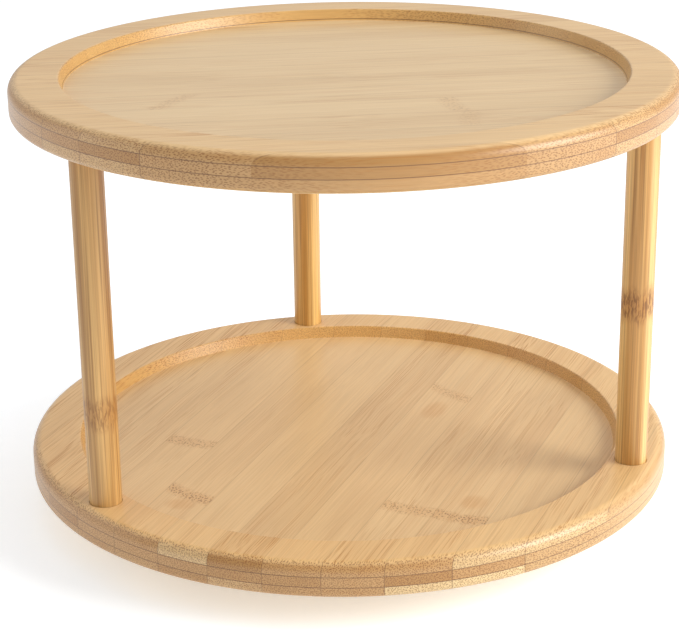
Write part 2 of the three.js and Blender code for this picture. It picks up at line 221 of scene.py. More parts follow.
def overlaid(tree, colour, *layers):
    """Lays colours over a first one in turn. Each layer is an amount and a colour."""
    for amount, tint in layers:
        colour = blend_colour(tree, amount, colour, tint)
    return colour


def shaded(tree, colour, fine, pale_at, dark_at, pale, dark):
    """Lightens and darkens a colour by a fine pattern."""
    brightness = ramp(tree, fine, pale_at, dark_at, pale, dark)
    grey = add_node(tree, "ShaderNodeCombineColor", dict.fromkeys(range(3), brightness))
    return blend_colour(tree, 1.0, colour, grey, mode="MULTIPLY")


def squares(tree, first, second):
    return plus(tree, calc(tree, "POWER", first, 2.0), calc(tree, "POWER", second, 2.0))


def stretched(tree, place, along, across, up):
    """Scales a place so that a pattern on it stretches where the scale is small."""
    inputs = {0: place, 1: (along, across, up)}
    return add_node(tree, "ShaderNodeVectorMath", inputs, operation="MULTIPLY")


def noise(tree, place, scale=1.0, detail=2.0, roughness=0.5):
    inputs = {"Vector": place, "Scale": scale, "Detail": detail, "Roughness": roughness}
    return add_node(tree, "ShaderNodeTexNoise", inputs)


def cells(tree, place, scale=1.0):
    """Distance from the middle of the nearest of many scattered spots."""
    return add_node(tree, "ShaderNodeTexVoronoi", {"Vector": place, "Scale": scale})


STRIP_WIDTH_MM = 20.15
STRIP_JOINT_MM = 4.1  # how far the nearest joint lies from the board's middle
GLUE_LINE_MM = 0.15
FIRST_STRIP = -7
FIBRES_PER_MM = 1.7
WALL_INSIDE_MM = 109.0  # edges nearer the middle than this are the dish's wall
FLOOR_COLOUR = linear("dec092")
RIM_COLOUR = linear("dfba84")
# The sides' colour: partly the edge grain's own tone, partly painted shade that keeps faces turned
# sideways darker than the tops.
EDGE_GRAIN_AND_SHADE_COLOUR = linear("b08147")
WALL_COLOUR = linear("cea25e")
DARK_STRIP_COLOUR = linear("9a6a2a")
PALE_STRIP_COLOUR = linear("e1c592")
FIBRE_COLOUR = linear("a8681c")
END_FIBRE_COLOUR = linear("6e3e10")
GLUE_COLOUR = linear("5e3814")
KNOT_COLOUR = linear("7c4c20")
SCAR_COLOUR = linear("c08a48")


def node_band(tree, along, across, strip, mark):
    """How much of a bamboo node's speckled band covers a point, on the one strip that has it."""
    position, strip_number, tilt, strength = mark
    middle = STRIP_JOINT_MM + (strip_number + 0.5) * STRIP_WIDTH_MM
    sideways = minus(tree, across, middle)
    lean = times(tree, sideways, tilt)
    bow = times(tree, times(tree, sideways, sideways), 0.012)
    centre = plus(tree, plus(tree, lean, bow), position)
    offset = calc(tree, "ABSOLUTE", minus(tree, along, centre))
    on_strip = calc(tree, "COMPARE", strip, float(strip_number), 0.5)
    band = ramp(tree, offset, 1.4, 5.4, strength, 0.0)
    return times(tree, band, on_strip)


def tone_of_strip(tree, strip, tones):
    """Looks up a strip's tone, from 0 for dark to 9 for pale, in a row that starts at FIRST_STRIP."""
    place = calc(tree, "DIVIDE", minus(tree, strip, FIRST_STRIP - 0.5), len(tones))
    table = tree.nodes.new("ShaderNodeValToRGB")
    stops = table.color_ramp
    stops.interpolation = "CONSTANT"
    for number, tone in enumerate(tones):
        stop = stops.elements[number] if number < 2 else stops.elements.new(1.0)
        stop.position = number / len(tones)
        stop.color = (*[int(tone) / 9] * 3, 1.0)
    tree.links.new(place, table.inputs[0])
    return table.outputs["Color"]


def bud_scar(tree, along, across, scar):
    """A soft lens-shaped patch where a bud once sat: its place, half length and half width in mm."""
    scar_along, scar_across, half_length, half_width = scar
    lengthwise = calc(tree, "DIVIDE", minus(tree, along, scar_along), half_length)
    sideways = calc(tree, "DIVIDE", minus(tree, across, scar_across), half_width)
    return ramp(tree, squares(tree, lengthwise, sideways), 0.0, 1.6, 1.0, 0.0)


def board_bamboo(
    name,
    grain_degrees,
    bottom,
    glue_heights_mm,
    dish_floor_mm,
    top_mm,
    seed,
    tones,
    marks=(),
    scars=(),
    floor_colour=FLOOR_COLOUR,
):
    """Laminated bamboo: strips in glued plies, with fibres along its faces and dots on its ends.

    The grain angle is counted from +X. Heights are above the board's own underside. Each ply has a
    row of strip tones, the lowest ply first. Each mark is a bamboo node: its place along the grain
    in mm, its strip's number, its tilt and its strength.
    """
    material, tree, shader = new_material(name, coat_weight=0.36, coat_roughness=0.3)
    grain = math.radians(grain_degrees)
    board_place = place_in_mm(tree, (0.0, 0.0, -bottom / MM), -grain)
    along, across, height = split(tree, board_place)
    end_grain = ramp(tree, looks_along(tree, math.cos(grain), math.sin(grain), 0.0), 0.06, 0.50)
    edge = ramp(tree, looks_along(tree, 0.0, 0.0, 1.0), 0.6, 0.97, 1.0, 0.0)

    # Strips and plies, each with a tone of its own.
    strip_place = calc(tree, "DIVIDE", minus(tree, across, STRIP_JOINT_MM), STRIP_WIDTH_MM)
    strip = calc(tree, "FLOOR", strip_place)
    within = minus(tree, strip_place, strip)
    to_joint = calc(tree, "MINIMUM", within, minus(tree, 1.0, within))
    to_joint = times(tree, to_joint, STRIP_WIDTH_MM)
    sideways_on = looks_along(tree, -math.sin(grain), math.cos(grain), 0.0)
    cut_across = ramp(tree, sideways_on, 0.75, 0.95, 1.0, 0.0)
    joint = ramp(tree, to_joint, GLUE_LINE_MM * 0.3, GLUE_LINE_MM * 1.5, 1.0, 0.0)
    joint = times(tree, joint, cut_across)
    ply = 0.0
    glue = 0.0
    tone = tone_of_strip(tree, strip, tones[0])
    for glue_height, ply_tones in zip(glue_heights_mm, tones[1:]):
        above = calc(tree, "GREATER_THAN", height, glue_height)
        ply = plus(tree, above, ply)
        ply_tone = tone_of_strip(tree, strip, ply_tones)
        tone = add_node(tree, "ShaderNodeMix", {0: above, 2: tone, 3: ply_tone})
        gap = calc(tree, "ABSOLUTE", minus(tree, height, glue_height))
        line = ramp(tree, gap, GLUE_LINE_MM * 0.4, GLUE_LINE_MM * 1.6, 1.0, 0.0)
        glue = calc(tree, "MAXIMUM", line, glue)
    strip_key = joined(tree, strip, ply, float(seed))
    shuffle = add_node(tree, "ShaderNodeTexWhiteNoise", {"Vector": strip_key}, output="Color")
    shift = stretched(tree, shuffle, 40.0, 40.0, 40.0)

    # Fibres: bundles that run along the grain and wander a little. A face shows them as lines and
    # an end as dots.
    drift = noise(tree, stretched(tree, board_place, 0.02, 0.05, 0.05), detail=1.0)
    wander = stretched(tree, drift.node.outputs["Color"], 0.0, 2.0, 2.5)
    bent_place = add_node(tree, "ShaderNodeVectorMath", {0: board_place, 1: wander}, operation="ADD")
    own_place = add_node(tree, "ShaderNodeVectorMath", {0: bent_place, 1: shift}, operation="ADD")
    _, own_across, own_height = split(tree, own_place)
    section = {"Vector": joined(tree, own_across, own_height, 0.0), "Scale": FIBRES_PER_MM}
    bundle_distance = add_node(tree, "ShaderNodeTexVoronoi", section, voronoi_dimensions="2D")
    bundles = ramp(tree, bundle_distance, 0.12, 0.42, 1.0, 0.0)
    breaks = noise(tree, stretched(tree, own_place, 0.035, 1.1, 1.1), detail=1.0)
    come_and_go = ramp(tree, breaks, 0.32, 0.58)
    gathering = noise(tree, stretched(tree, own_place, 0.012, 0.22, 0.22), detail=1.0)
    groups = ramp(tree, gathering, 0.35, 0.7)
    fine = noise(tree, stretched(tree, own_place, 0.02, 1.7, 1.7), detail=3.0, roughness=0.6)
    broad = noise(tree, stretched(tree, own_place, 0.008, 0.16, 0.16), detail=2.0)
    cloud = noise(tree, stretched(tree, own_place, 0.010, 0.05, 0.05), detail=1.0)
    skin = ramp(tree, height, dish_floor_mm + 0.3, top_mm - 0.6)
    from_middle = calc(tree, "SQRT", squares(tree, along, across))
    inside = calc(tree, "LESS_THAN", from_middle, WALL_INSIDE_MM)
    wall = times(tree, inside, edge)

    # Colour, from the plain board to its smallest marks.
    outside = minus(tree, edge, wall)
    tone_strength = ramp(tree, outside, 0.0, 1.0, 0.18, 0.85)
    line_strength = times(tree, ramp(tree, skin, 0.0, 1.0, 0.32, 0.66), come_and_go)
    strip_strength = ramp(tree, split(tree, shuffle)[0], 0.0, 1.0, 0.35, 1.5)
    line_strength = times(tree, line_strength, strip_strength)
    thin_lines = times(tree, ramp(tree, fine, 0.50, 0.66), 0.55)
    lines = calc(tree, "MAXIMUM", ramp(tree, bundle_distance, 0.10, 0.40, 1.0, 0.0), thin_lines)
    lines = times(tree, lines, line_strength)
    lines = times(tree, lines, plus(tree, times(tree, groups, 0.8), 0.35))
    dots = times(tree, bundles, end_grain)
    dots = times(tree, dots, ramp(tree, wall, 0.0, 1.0, 0.70, 0.45))
    colour = overlaid(
        tree,
        floor_colour,
        (skin, RIM_COLOUR),
        # faces turned sideways: partly the edge grain's own colour, partly painted shade, darker than the
        # tops
        (times(tree, edge, 0.85), EDGE_GRAIN_AND_SHADE_COLOUR),
        (wall, WALL_COLOUR),
        (times(tree, ramp(tree, tone, 0.0, 0.5, 1.0, 0.0), tone_strength), DARK_STRIP_COLOUR),
        (times(tree, ramp(tree, tone, 0.5, 1.0), tone_strength), PALE_STRIP_COLOUR),
        (ramp(tree, cloud, 0.4, 0.75, 0.0, 0.12), DARK_STRIP_COLOUR),
        (ramp(tree, broad, 0.45, 0.75, 0.0, 0.12), FIBRE_COLOUR),
        (lines, FIBRE_COLOUR),
        (dots, END_FIBRE_COLOUR),
    )
    colour = shaded(tree, colour, fine, 0.2, 0.8, 1.07, 0.93)
    joints = times(tree, joint, ramp(tree, outside, 0.0, 1.0, 0.24, 0.5))
    colour = overlaid(tree, colour, (joints, GLUE_COLOUR), (times(tree, glue, 0.74), GLUE_COLOUR))

    # Bamboo nodes: a band of short dark speckles right across one strip, and the scars of buds.
    knots = 0.0
    for mark in marks:
        knots = plus(tree, node_band(tree, along, across, strip, mark), knots)
    if marks:
        speckle = cells(tree, stretched(tree, board_place, 0.75, 1.15, 1.0))
        speckle = ramp(tree, speckle, 0.22, 0.5, 1.0, 0.0)
        on_top = ramp(tree, height, dish_floor_mm - 1.5, dish_floor_mm - 0.5)
        knots = times(tree, knots, on_top)
        spots = times(tree, knots, speckle)
        colour = blend_colour(tree, times(tree, knots, 0.26), colour, SCAR_COLOUR)
        colour = blend_colour(tree, times(tree, spots, 0.70, clamp=True), colour, KNOT_COLOUR)
        for scar in scars:
            patch = times(tree, bud_scar(tree, along, across, scar), on_top)
            patch = times(tree, patch, ramp(tree, fine, 0.3, 0.6, 0.2, 0.45))
            colour = blend_colour(tree, patch, colour, SCAR_COLOUR)

    # Satin lacquer, a little rougher over the fibres and sunk along the glue lines.
    dull = plus(tree, times(tree, bundles, 0.10), times(tree, fine, 0.12))
    sunk = calc(tree, "MAXIMUM", times(tree, joint, 0.6), glue)
    relief = plus(tree, times(tree, bundles, 0.35), times(tree, fine, 0.3))
    relief = minus(tree, relief, sunk)
    finish_surface(tree, shader, colour, plus(tree, dull, 0.36), relief, 0.25, 0.10)
    return material


def new_tree(name, count, *numbers):
    """A geometry-nodes group with a geometry, a count, some real numbers and a material to set."""
    tree = bpy.data.node_groups.new(name, "GeometryNodeTree")
    tree.interface.new_socket("Geometry", in_out="INPUT", socket_type="NodeSocketGeometry")
    tree.interface.new_socket(count, in_out="INPUT", socket_type="NodeSocketInt")
    for number in numbers:
        tree.interface.new_socket(number, in_out="INPUT", socket_type="NodeSocketFloat")
    tree.interface.new_socket("Material", in_out="INPUT", socket_type="NodeSocketMaterial")
    tree.interface.new_socket("Geometry", in_out="OUTPUT", socket_type="NodeSocketGeometry")
    return tree, tree.nodes.new("NodeGroupInput").outputs


def finish_tree(tree, given, geometry):
    real = add_node(tree, "GeometryNodeRealizeInstances", {0: geometry})
    dressed = add_node(tree, "GeometryNodeSetMaterial", {"Geometry": real, "Material": given["Material"]})
    tree.links.new(dressed, tree.nodes.new("NodeGroupOutput").inputs[0])
    return tree


def on_circle(tree, radius, angle, height):
    x = times(tree, radius, calc(tree, "COSINE", angle))
    y = times(tree, radius, calc(tree, "SINE", angle))
    return joined(tree, x, y, height)


def turning_tree():
    """Turns a row of profile points about Z, and can cut a screw thread into a stretch of it."""
    thread = ("Thread Depth", "Thread Pitch", "Thread From", "Thread To")
    tree, given = new_tree("turned_on_a_lathe", "Segments", *thread)
    columns = plus(tree, given["Segments"], 1)
    rows = add_node(tree, "GeometryNodeAttributeDomainSize", {0: given["Geometry"]})
    grid = add_node(tree, "GeometryNodeMeshGrid", {"Vertices X": rows, "Vertices Y": columns})
    number = add_node(tree, "GeometryNodeInputIndex")
    row = calc(tree, "FLOOR", calc(tree, "DIVIDE", plus(tree, number, 0.5), columns))
    column = minus(tree, number, times(tree, row, columns))
    position = add_node(tree, "GeometryNodeInputPosition")
    sampled = {"Geometry": given["Geometry"], "Value": position, "Index": row}
    profile_point = add_node(tree, "GeometryNodeSampleIndex", sampled, data_type="FLOAT_VECTOR")
    radius, _, height = split(tree, profile_point)
    turn = calc(tree, "DIVIDE", column, given["Segments"])
    angle = times(tree, turn, math.tau)

    phase = minus(tree, calc(tree, "DIVIDE", height, given["Thread Pitch"]), turn)
    saw = times(tree, calc(tree, "FRACT", phase), 2)
    groove = calc(tree, "ABSOLUTE", minus(tree, saw, 1))
    start = plus(tree, given["Thread From"], given["Thread Pitch"])
    stop = minus(tree, given["Thread To"], given["Thread Pitch"])
    runs_in = ramp(tree, height, given["Thread From"], start)
    runs_out = ramp(tree, height, stop, given["Thread To"], 1.0, 0.0)
    cut = times(tree, groove, times(tree, runs_in, runs_out))
    threaded = minus(tree, radius, times(tree, cut, given["Thread Depth"]))
    place = on_circle(tree, threaded, angle, height)
    turned_grid = add_node(tree, "GeometryNodeSetPosition", {"Geometry": grid, "Position": place})
    weld_inputs = {"Geometry": turned_grid, "Distance": 0.002 * MM}
    welded = add_node(tree, "GeometryNodeMergeByDistance", weld_inputs)
    return finish_tree(tree, given, welded)


def ring_tree():
    """Sets copies of a piece evenly round the Z axis, each turned to face outwards alike."""
    tree, given = new_tree("evenly_round_a_circle", "Count", "Radius", "First Angle", "Height")
    number = add_node(tree, "GeometryNodeInputIndex")
    step = calc(tree, "DIVIDE", math.tau, given["Count"])
    angle = plus(tree, times(tree, number, step), given["First Angle"])
    place = on_circle(tree, given["Radius"], angle, given["Height"])
    points = add_node(tree, "GeometryNodePoints", {"Count": given["Count"], "Position": place})
    turn = joined(tree, 0.0, 0.0, angle)
    copied = {"Points": points, "Instance": given["Geometry"], "Rotation": turn}
    return finish_tree(tree, given, add_node(tree, "GeometryNodeInstanceOnPoints", copied))


TURNING = turning_tree()
RING = ring_tree()
SHARP_ANGLE = math.radians(32)
WELD_MM = 0.001


def as_plain_mesh(piece):
    """Replaces an object's mesh with what its modifiers make of it, in the one material it has."""
    evaluated = piece.evaluated_get(bpy.context.evaluated_depsgraph_get())
    made = bpy.data.meshes.new_from_object(evaluated)
    piece.modifiers.clear()
    piece.data = made
    material = next((entry for entry in made.materials if entry), None)
    made.materials.clear()
    made.materials.append(material)
    made.polygons.foreach_set("material_index", [0] * len(made.polygons))
    return piece


def run_tree(piece, tree, **inputs):
    """Runs a geometry-nodes group on a piece; an input's name has _ where the group's has a space."""
    modifier = piece.modifiers.new(tree.name, "NODES")
    modifier.node_group = tree
    for item in tree.interface.items_tree:
        key = item.name.replace(" ", "_").lower()
        if item.in_out == "INPUT" and key in inputs:
            modifier[item.identifier] = inputs[key]
    return as_plain_mesh(piece)


def smoothed(piece):
    """Turns faces outwards and shades them smooth up to the real edges."""
    shape = bmesh.new()
    shape.from_mesh(piece.data)
    bmesh.ops.remove_doubles(shape, verts=shape.verts, dist=WELD_MM * MM)
    bmesh.ops.recalc_face_normals(shape, faces=shape.faces)
    shape.to_mesh(piece.data)
    shape.free()
    piece.data.polygons.foreach_set("use_smooth", [True] * len(piece.data.polygons))
    piece.data.set_sharp_from_angle(angle=SHARP_ANGLE)
    return piece


def turned(name, profile_mm, segments, material, thread=(0.0, 1.0, 0.0, 0.0)):
    """A piece turned from a profile of (radius, height) in mm; thread is depth, pitch, from and to."""
    outline = bpy.data.meshes.new(name)
    outline.from_pydata([(radius * MM, 0.0, height * MM) for radius, height in profile_mm], [], [])
    depth, pitch, start, stop = (value * MM for value in thread)
    inputs = {"thread_depth": depth, "thread_pitch": pitch, "thread_from": start, "thread_to": stop}
    piece = mesh_object(name, outline)
    return smoothed(run_tree(piece, TURNING, segments=segments, material=material, **inputs))


def ringed(piece, count, circle, height=0.0):
    """Copies of a piece round the axis, as one mesh. A circle is a radius and a first angle."""
    radius, first_angle = circle
    material = piece.data.materials[0]
    inputs = {"count": count, "radius": radius, "first_angle": first_angle, "height": height}
    return smoothed(run_tree(piece, RING, material=material, **inputs))


def carved(blank, *cutters):
    """Cuts each cutter out of a blank, and uses it up. Cut faces take the blank's material."""
    for cutter in cutters:
        modifier = blank.modifiers.new("cut", "BOOLEAN")
        modifier.solver = "EXACT"
        modifier.operation = "DIFFERENCE"
        modifier.object = cutter
    as_plain_mesh(blank)
    for cutter in cutters:
        bpy.data.objects.remove(cutter)
    return smoothed(blank)


def arc(centre_radius, centre_height, radius, start, end, steps):
    """Points of a round stretch of a profile, between two angles in degrees."""
    angles = [math.radians(start + (end - start) * i / steps) for i in range(steps + 1)]
    return [(centre_radius + radius * math.cos(a), centre_height + radius * math.sin(a)) for a in angles]


def lifted(piece, x, y, z):
    """Moves a piece's mesh, so that its object stays at the origin."""
    piece.data.transform(Matrix.Translation((x, y, z)))
    return piece


def drill_ring(radius_mm, bottom_mm, top_mm, count, circle, segments=32):
    """Upright cutters, evenly round a circle, between two heights above the table."""
    profile = [(0, bottom_mm), (radius_mm, bottom_mm), (radius_mm, top_mm), (0, top_mm)]
    return ringed(turned("drill", profile, segments, None), count, circle)


def box_centre(node):
    low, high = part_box(node)
    return (Vector(low) + Vector(high)) / 2


def circle_of(node):
    """The radius and angle at which a node stands round the turning axis."""
    middle = box_centre(node)
    return math.hypot(middle.x, middle.y), math.atan2(middle.y, middle.x)


def height_span_mm(node):
    low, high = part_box(node)
    return low[2] / MM, high[2] / MM


def radius_mm(node):
    low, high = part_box(node)
    return (high[0] - low[0]) / 2 / MM


BASE_ROUNDING = 1.5
PILOT_RADIUS = 1.9
ACCESS_RADIUS = 6.0
BASE_PILOT_DEPTH = 4.9
SCREW_COUNT = 4

base_bottom, base_top = height_span_mm("base_disc")
base_radius = radius_mm("base_disc")
base_screw_circle = circle_of("base_screw_1")
tray_screw_circle = (base_screw_circle[0], circle_of("tray_screw_1")[1])

base_bamboo = board_bamboo(
    "base_bamboo",
    grain_degrees=24,
    bottom=base_bottom * MM,
    glue_heights_mm=(3.0,),
    dish_floor_mm=-4.0,
    top_mm=14.0,
    seed=11,
    tones=("5463745364556", "4564553654645"),
)
inset = base_radius - BASE_ROUNDING
base_profile = [
    (0, base_bottom),
    (inset - 0.4, base_bottom),
    *arc(inset, base_bottom + BASE_ROUNDING, BASE_ROUNDING, -90, 0, 8),
    *arc(inset, base_top - BASE_ROUNDING, BASE_ROUNDING, 0, 90, 8),
    (inset - 0.4, base_top),
    (0, base_top),
]
pilot_end = base_top - BASE_PILOT_DEPTH
base_disc = carved(
    turned("base_disc_turned", base_profile, 192, base_bamboo),
    drill_ring(PILOT_RADIUS, pilot_end, base_top + 1, SCREW_COUNT, base_screw_circle),
    drill_ring(ACCESS_RADIUS, base_bottom - 1, base_top + 1, 1, tray_screw_circle, segments=64),
)
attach(base_disc, "base")
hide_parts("base_disc")

# ----------------------------
# Feet: four moulded rubber pads glued under the base, with a worn matt face, a soft edge and a
# small dimple. They keep the base from sliding.


def rubber(name):
    material, tree, shader = new_material(name)
    place = object_place(tree)
    grain = noise(tree, place, scale=2600.0, detail=3.0)
    dust = noise(tree, place, scale=320.0, detail=4.0)
    colour = blend_colour(tree, ramp(tree, dust, 0.4, 0.8, 0.0, 0.5), linear("262524"), linear("4a4744"))
    roughness = ramp(tree, dust, 0.2, 0.8, 0.72, 0.92)
    finish_surface(tree, shader, colour, roughness, grain, 0.3, 0.05)
    return material


FOOT_COUNT = 4
FOOT_EDGE = 0.8
FOOT_DIMPLE_RADIUS = 1.6
FOOT_DIMPLE_DEPTH = 0.35

foot_rubber = rubber("foot_rubber")
foot_radius = radius_mm("foot_1")
foot_bottom, foot_top = height_span_mm("foot_1")
foot_profile = [
    (0, foot_bottom + FOOT_DIMPLE_DEPTH),
    (FOOT_DIMPLE_RADIUS - 0.4, foot_bottom + FOOT_DIMPLE_DEPTH),
    (FOOT_DIMPLE_RADIUS, foot_bottom),
    *arc(foot_radius - 0.4 - FOOT_EDGE, foot_bottom + FOOT_EDGE, FOOT_EDGE, -90, 0, 6),
    (foot_radius, foot_top - 0.3),
    (foot_radius, foot_top),
    (0, foot_top),
]
foot = turned("rubber_feet", foot_profile, 40, foot_rubber)
feet = ringed(foot, FOOT_COUNT, circle_of("foot_1"))
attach(feet, "base")
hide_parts(*[f"foot_{i + 1}" for i in range(FOOT_COUNT)])

# ----------------------------
# Lower bearing plate: 1 mm steel sheet, zinc plated, pressed with a ball race and a flat flange
# that is screwed down to the base.


def zinc_steel(name, hex_light, hex_dark, roughness, spangle_scale):
    """Plated steel with faint crystal patches and fine rubbed scratches."""
    material, tree, shader = new_material(name, metallic=1.0)
    place = object_place(tree)
    patches = cells(tree, place, scale=spangle_scale)
    stain = noise(tree, place, scale=70.0, detail=4.0)
    scratches = noise(tree, stretched(tree, place, 2400.0, 180.0, 900.0), detail=2.0)
    crystals = (ramp(tree, patches, 0.0, 0.8, 0.0, 0.45), linear(hex_dark))
    stains = (ramp(tree, stain, 0.5, 0.8, 0.0, 0.4), linear(hex_dark))
    colour = overlaid(tree, linear(hex_light), crystals, stains)
    rubbed = plus(tree, times(tree, scratches, 0.14), roughness)
    finish_surface(tree, shader, colour, rubbed, scratches, 0.12, 0.02)
    return material


SHEET = 1.0
SHEET_CORNER = 0.1
FLANGE_INNER = 50.0
RAISED_OUTER = 48.0
RACE_SECTION = 2.0
BEND = 0.5
PLATE_HOLE_RADIUS = 1.9
PLATE_ACCESS_RADIUS = 5.0
PLATE_BORE = 6.1

bearing_steel = zinc_steel("bearing_steel", "c9ccce", "a9adb0", 0.26, 420.0)
plate_radius = radius_mm("bearing_lower_plate")
lower_plate_bottom, lower_plate_top = height_span_mm("bearing_lower_plate")
_, upper_plate_top = height_span_mm("bearing_upper_plate")
ball_height = box_centre("ball_retainer").z / MM
ball_circle = circle_of("bearing_ball_01")
race_radius = ball_circle[0] / MM


def plate_profile():
    """The pressed sheet flange down on height 0, its race open upwards and touching the wood."""
    middle = ball_height - lower_plate_bottom
    drop = middle - 2 * SHEET
    mouth = math.degrees(math.asin(drop / RACE_SECTION))
    half_mouth = math.sqrt(RACE_SECTION**2 - drop**2)
    outside = RACE_SECTION + SHEET
    back = math.degrees(math.acos((middle - SHEET) / outside)) - 2
    pressed = arc(race_radius, middle, outside, -90 - back, -90 + back, 16)
    underside = [(radius, max(0.0, height)) for radius, height in pressed]
    return [
        (PLATE_BORE, SHEET),
        (PLATE_BORE + 3, SHEET),
        *underside,
        (RAISED_OUTER - 0.6, SHEET),
        (RAISED_OUTER, SHEET - SHEET_CORNER),
        (FLANGE_INNER, SHEET_CORNER),
        (FLANGE_INNER + 0.6, 0),
        (plate_radius - SHEET_CORNER, 0),
        (plate_radius, SHEET_CORNER),
        (plate_radius, SHEET - SHEET_CORNER),
        (plate_radius - SHEET_CORNER, SHEET),
        (FLANGE_INNER + BEND + 0.6, SHEET),
        (FLANGE_INNER + BEND, SHEET + SHEET_CORNER),
        (RAISED_OUTER + BEND, 2 * SHEET - SHEET_CORNER),
        (RAISED_OUTER + BEND - 0.6, 2 * SHEET),
        (race_radius + half_mouth + 0.3, 2 * SHEET),
        *arc(race_radius, middle, RACE_SECTION, -mouth, -180 + mouth, 16),
        (race_radius - half_mouth - 0.3, 2 * SHEET),
        (PLATE_BORE + 3, 2 * SHEET),
        (PLATE_BORE, 2 * SHEET),
        (PLATE_BORE, SHEET),
    ]


lower_plate = turned("lower_bearing_plate", plate_profile(), 160, bearing_steel)
lifted(lower_plate, 0, 0, lower_plate_bottom * MM)
below = lower_plate_bottom - 1
above = lower_plate_top + 1
lower_plate = carved(
    lower_plate,
    drill_ring(PLATE_HOLE_RADIUS, below, above, SCREW_COUNT, base_screw_circle),
    drill_ring(PLATE_ACCESS_RADIUS, below, above, 1, tray_screw_circle, segments=48),
)
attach(lower_plate, "base")
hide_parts("bearing_lower_plate")

# ----------------------------
# Eyelet: a rolled tube through the middle of both plates. Its lower flange is clenched under
# the lower plate, and its upper flange runs just clear of the upper one.

EYELET_BORE = 5.0
EYELET_OUTSIDE = 5.8
EYELET_FLANGE = 0.6

eyelet_bottom, eyelet_top = height_span_mm("bearing_eyelet")
eyelet_radius = radius_mm("bearing_eyelet")
lip = EYELET_FLANGE / 2
eyelet_profile = [
    (EYELET_BORE, eyelet_bottom + 0.5),
    *arc(EYELET_BORE + 0.5, eyelet_bottom + 0.5, 0.5, -180, -90, 5),
    *arc(eyelet_radius - lip, eyelet_bottom + lip, lip, -90, 90, 8),
    (EYELET_OUTSIDE, eyelet_bottom + EYELET_FLANGE),
    (EYELET_OUTSIDE, eyelet_top - EYELET_FLANGE),
    *arc(eyelet_radius - lip, eyelet_top - lip, lip, -90, 90, 8),
    *arc(EYELET_BORE + 0.5, eyelet_top - 0.5, 0.5, 90, 180, 5),
    (EYELET_BORE, eyelet_bottom + 0.5),
]
eyelet = turned("bearing_eyelet_rolled", eyelet_profile, 96, bearing_steel)
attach(eyelet, "base")
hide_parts("bearing_eyelet")

# ----------------------------
# Base screws: zinc-plated pan-head wood screws with a cross recess, driven down through the
# lower plate's flange into pilot holes in the base.

PAN_SHANK = 1.6
PAN_HEAD = 3.2
PAN_HEAD_HEIGHT = 1.6
PAN_THREAD_PITCH = 1.1
PAN_THREAD_DEPTH = 0.35
PAN_POINT = 1.2
THREAD_ROWS_PER_PITCH = 6

screw_steel = zinc_steel("screw_steel", "cfd1d2", "a5a8aa", 0.22, 900.0)


def shank_rows(radius, start, stop, pitch):
    """Profile points along a straight shank, close enough together to carry a thread."""
    rows = max(2, round(abs(stop - start) / pitch * THREAD_ROWS_PER_PITCH))
    return [(radius, start + (stop - start) * i / rows) for i in range(rows + 1)]


def cross_cutter(face_height, depth, width, length, inward):
    """A cross that narrows as it goes into the screw head; inward is 1 when it runs up, else -1."""
    shape = bmesh.new()
    loops = []
    for share, reach in ((1.0, -0.4), (0.45, depth)):
        arm = length / 2 * share
        half_width = width / 2 * (0.4 + 0.6 * share)
        loop = []
        for quarter in range(4):
            for corner in ((arm, -half_width), (arm, half_width), (half_width, half_width)):
                spot = Vector((*corner, face_height + inward * reach))
                spot.rotate(Euler((0, 0, quarter * math.pi / 2)))
                loop.append(shape.verts.new(spot * MM))
        loops.append(loop)
    wide, narrow = loops
    shape.faces.new(wide)
    shape.faces.new(narrow)
    for i, corner in enumerate(wide):
        following = (i + 1) % len(wide)
        shape.faces.new((corner, wide[following], narrow[following], narrow[i]))
    bmesh.ops.recalc_face_normals(shape, faces=shape.faces)
    mesh = bpy.data.meshes.new("cross")
    shape.to_mesh(mesh)
    shape.free()
    return mesh_object("cross", mesh)


def pan_screw(name, bite):
    """A pan-head screw, point down, with the underside of its head at height 0."""
    tip = -(bite + SHEET)
    profile = [
        (0, tip),
        (0.25, tip + 0.15),
        *shank_rows(PAN_SHANK, tip + PAN_POINT, -0.1, PAN_THREAD_PITCH),
        (PAN_SHANK, 0),
        (PAN_HEAD - 0.15, 0),
        *arc(PAN_HEAD - 0.9, 0.7, 0.9, -20, 60, 6),
        *arc(0, -4.4, 6.0, 68, 90, 6),
    ]
    crown = PAN_HEAD_HEIGHT / max(height for _, height in profile)
    profile = [(radius, height * crown if height > 0 else height) for radius, height in profile]
    thread = (PAN_THREAD_DEPTH, PAN_THREAD_PITCH, tip + PAN_POINT * 0.4, -0.2)
    screw = turned(name, profile, 36, screw_steel, thread)
    return carved(screw, cross_cutter(PAN_HEAD_HEIGHT, 1.0, 0.8, 3.2, -1))


base_screw_tip, _ = height_span_mm("base_screw_1")
plate_face = lower_plate_bottom + SHEET
base_screw = pan_screw("base_plate_screws", plate_face - base_screw_tip - SHEET)
base_screws = ringed(base_screw, SCREW_COUNT, base_screw_circle, plate_face * MM)
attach(base_screws, "base")
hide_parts(*[f"base_screw_{i + 1}" for i in range(SCREW_COUNT)])

# ----------------------------
# Ball ring: hardened steel balls, kept apart by a thin moulded ring with a pocket for each.
# It rolls between the two plates at half the turntable's speed.

BALL_COUNT = 16
POCKET_RADIUS = 1.95


def polished_steel(name):
    material, tree, shader = new_material(name, metallic=1.0)
    place = object_place(tree)
    haze = noise(tree, place, scale=900.0, detail=3.0)
    colour = blend_colour(tree, haze, linear("d6d8da"), linear("bfc2c5"))
    finish_surface(tree, shader, colour, ramp(tree, haze, 0.3, 0.8, 0.06, 0.16))
    return material


def moulded_plastic(name):
    material, tree, shader = new_material(name)
    place = object_place(tree)
    grain = noise(tree, place, scale=3000.0, detail=2.0)
    flow = noise(tree, place, scale=120.0, detail=2.0)
    colour = blend_colour(tree, flow, linear("efede6"), linear("e2dfd5"))
    roughness = ramp(tree, grain, 0.3, 0.7, 0.42, 0.55)
    finish_surface(tree, shader, colour, roughness, grain, 0.15, 0.02)
    return material


